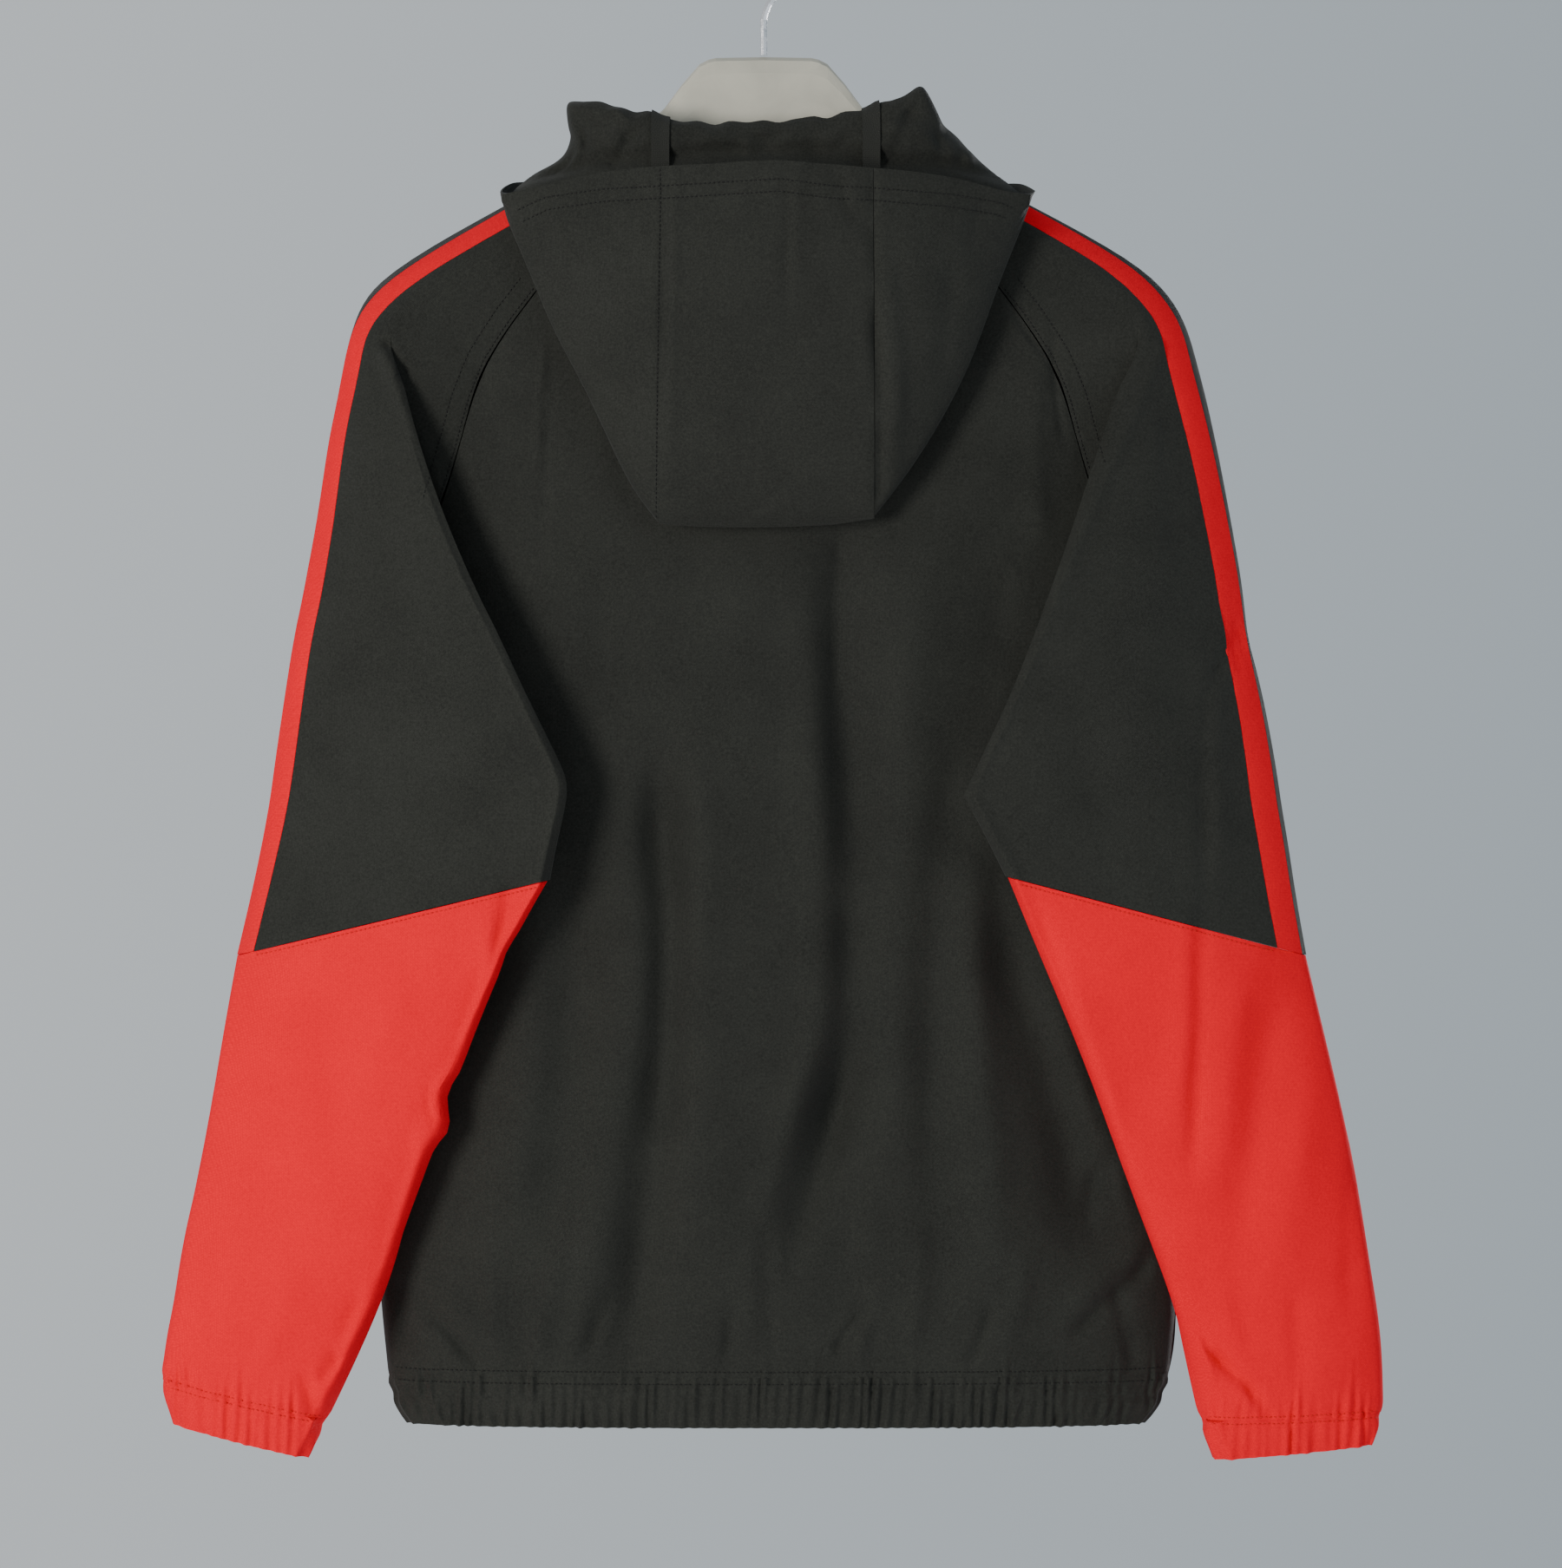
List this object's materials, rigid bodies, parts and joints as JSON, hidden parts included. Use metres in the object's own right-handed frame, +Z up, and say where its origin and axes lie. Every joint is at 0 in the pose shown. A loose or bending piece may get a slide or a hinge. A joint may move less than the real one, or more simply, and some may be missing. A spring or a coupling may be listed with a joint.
{
  "type": "hooded windbreaker on a hanger",
  "caption": "Dark hooded raglan windbreaker with red forearms and a red stripe along each overarm, hanging on a cream hanger.",
  "frame": {"origin": "inside top of the hanger's hook, where a rod carries it", "axes": "+Z up, +Y towards the garment's front and the wall behind it, +X to the right as its back is seen"},
  "size_m": [0.6841, 0.1454, 0.8665],
  "materials": {
    "shell_dark": "matt woven shell, charcoal",
    "shell_red": "matt woven shell, red",
    "knit_dark": "fine knit, charcoal",
    "binding_dark": "flat binding tape",
    "zip_dark": "moulded teeth and woven tape, black",
    "hanger_cream": "satin moulded plastic, cream",
    "steel": "plated steel wire"
  },
  "bodies": {
    "garment": {"back": "shell_dark", "front_left": "shell_dark", "front_right": "shell_dark", "hem_back": "shell_dark", "hem_front_left": "shell_dark", "hem_front_right": "shell_dark", "sleeve_back_left": "shell_dark", "sleeve_back_right": "shell_dark", "sleeve_front_left": "shell_dark", "sleeve_front_right": "shell_dark", "stripe_left": "shell_red", "stripe_right": "shell_red", "overarm_left": "knit_dark", "overarm_right": "knit_dark", "forearm_left": "shell_red", "forearm_right": "shell_red", "cuff_left": "shell_red", "cuff_right": "shell_red", "hood_centre": "shell_dark", "hood_side_left": "shell_dark", "hood_side_right": "shell_dark", "binding_left": "binding_dark", "binding_right": "binding_dark", "zip_tape_left": "zip_dark", "zip_tape_right": "zip_dark", "zip_chain": "zip_dark", "zip_slider": "zip_dark", "hanger": "hanger_cream", "hook": "steel"},
    "pull": {"zip_pull": "zip_dark"}
  },
  "joints": [
    {"name": "pull_hinge", "type": "hinge", "parent": "garment", "child": "pull", "pos_m": [0.0032, 0.0335, -0.2236], "axis": [1, 0, 0], "range_deg": [0, 160]}
  ]
}
